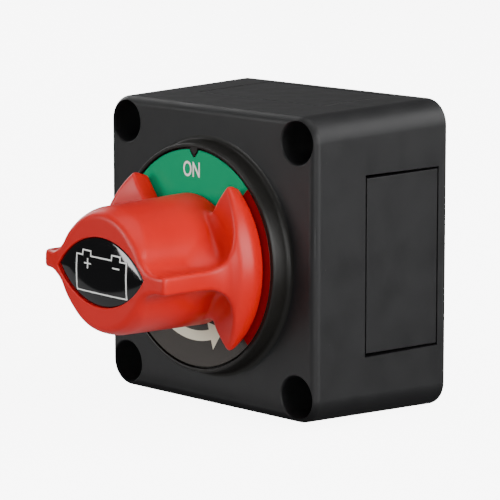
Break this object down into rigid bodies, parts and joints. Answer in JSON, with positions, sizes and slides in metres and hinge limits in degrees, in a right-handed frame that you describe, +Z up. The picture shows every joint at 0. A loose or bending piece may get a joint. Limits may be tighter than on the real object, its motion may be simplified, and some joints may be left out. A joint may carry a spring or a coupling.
{
  "type": "battery switch",
  "caption": "Surface-mounted marine battery master switch: square black housing, round ON/OFF dial, red winged turn knob, cam-driven contact bridge between threaded studs.",
  "frame": {"origin": "centre of the back (mounting) face", "axes": "+Y into the bulkhead, out of the back face; -Y to the front, along the knob's axis; +Z up, to the index tooth and the ON sector; +X to the right seen from the front"},
  "size_m": [0.069, 0.0712, 0.069],
  "materials": {
    "black_nylon": "fine moulded texture",
    "red_nylon": "satin moulded",
    "dial_print": "printed, glossy",
    "black_lens": "polished",
    "white_acetal": "smooth moulded",
    "grey_phenolic": "moulded",
    "copper": "bright copper",
    "tinned_brass": "tin plated",
    "silver": "silver alloy",
    "stainless": "turned stainless",
    "spring_steel": "drawn wire",
    "nitrile": "moulded rubber"
  },
  "bodies": {
    "case": {"housing": "black_nylon", "dial_plate": "dial_print", "base_insulator": "grey_phenolic", "terminal_stud_left": "tinned_brass", "terminal_stud_right": "tinned_brass", "flat_washer_left": "stainless", "flat_washer_right": "stainless", "spring_washer_left": "stainless", "spring_washer_right": "stainless", "stud_nut_left": "stainless", "stud_nut_right": "stainless", "fixed_contact_left": "silver", "fixed_contact_right": "silver", "base_screw_1": "stainless", "base_screw_2": "stainless", "base_screw_3": "stainless", "base_screw_4": "stainless", "guide_pin_upper": "stainless", "guide_pin_lower": "stainless", "return_spring": "spring_steel", "detent_spring_upper": "spring_steel", "detent_spring_lower": "spring_steel"},
    "turning_knob": {"knob": "red_nylon", "knob_badge": "black_lens", "knob_screw": "stainless", "rotor": "white_acetal", "rotor_o_ring": "nitrile"},
    "carrier": {"contact_carrier": "grey_phenolic", "contact_bridge": "copper", "moving_contact_left": "silver", "moving_contact_right": "silver"},
    "upper_detent": {"detent_plunger_upper": "stainless"},
    "lower_detent": {"detent_plunger_lower": "stainless"},
    "cover": {"rear_cover": "black_nylon"},
    "right_panel": {"cable_panel_right": "black_nylon"},
    "top_panel": {"cable_panel_top": "black_nylon"},
    "left_panel": {"cable_panel_left": "black_nylon"},
    "bottom_panel": {"cable_panel_bottom": "black_nylon"}
  },
  "joints": [
    {"name": "knob_turn", "type": "hinge", "parent": "case", "child": "turning_knob", "pos_m": [0, -0.0405, 0], "axis": [0, -1, 0], "range_deg": [0, 90]},
    {"name": "carrier_slide", "type": "slide", "parent": "case", "child": "carrier", "axis": [0, -1, 0], "range_m": [0, 0.0015], "deforming": ["return_spring"]},
    {"name": "upper_detent_slide", "type": "slide", "parent": "case", "child": "upper_detent", "axis": [0.7071, 0, 0.7071], "range_m": [-0.0004, 0.0006], "stiffness_N_per_m": 120, "deforming": ["detent_spring_upper"]},
    {"name": "lower_detent_slide", "type": "slide", "parent": "case", "child": "lower_detent", "axis": [-0.7071, 0, -0.7071], "range_m": [-0.0004, 0.0006], "stiffness_N_per_m": 120, "deforming": ["detent_spring_lower"]},
    {"name": "rear_cover_off", "type": "slide", "parent": "case", "child": "cover", "axis": [0, 1, 0], "range_m": [0, 0.03]},
    {"name": "right_panel_out", "type": "slide", "parent": "case", "child": "right_panel", "axis": [1, 0, 0], "range_m": [0, 0.02]},
    {"name": "top_panel_out", "type": "slide", "parent": "case", "child": "top_panel", "axis": [0, 0, 1], "range_m": [0, 0.02]},
    {"name": "left_panel_out", "type": "slide", "parent": "case", "child": "left_panel", "axis": [-1, 0, 0], "range_m": [0, 0.02]},
    {"name": "bottom_panel_out", "type": "slide", "parent": "case", "child": "bottom_panel", "axis": [0, 0, -1], "range_m": [0, 0.02]}
  ],
  "couplings": [
    {"joint": "carrier_slide", "follows": "knob_turn", "m_per_rad": 0.00095}
  ]
}
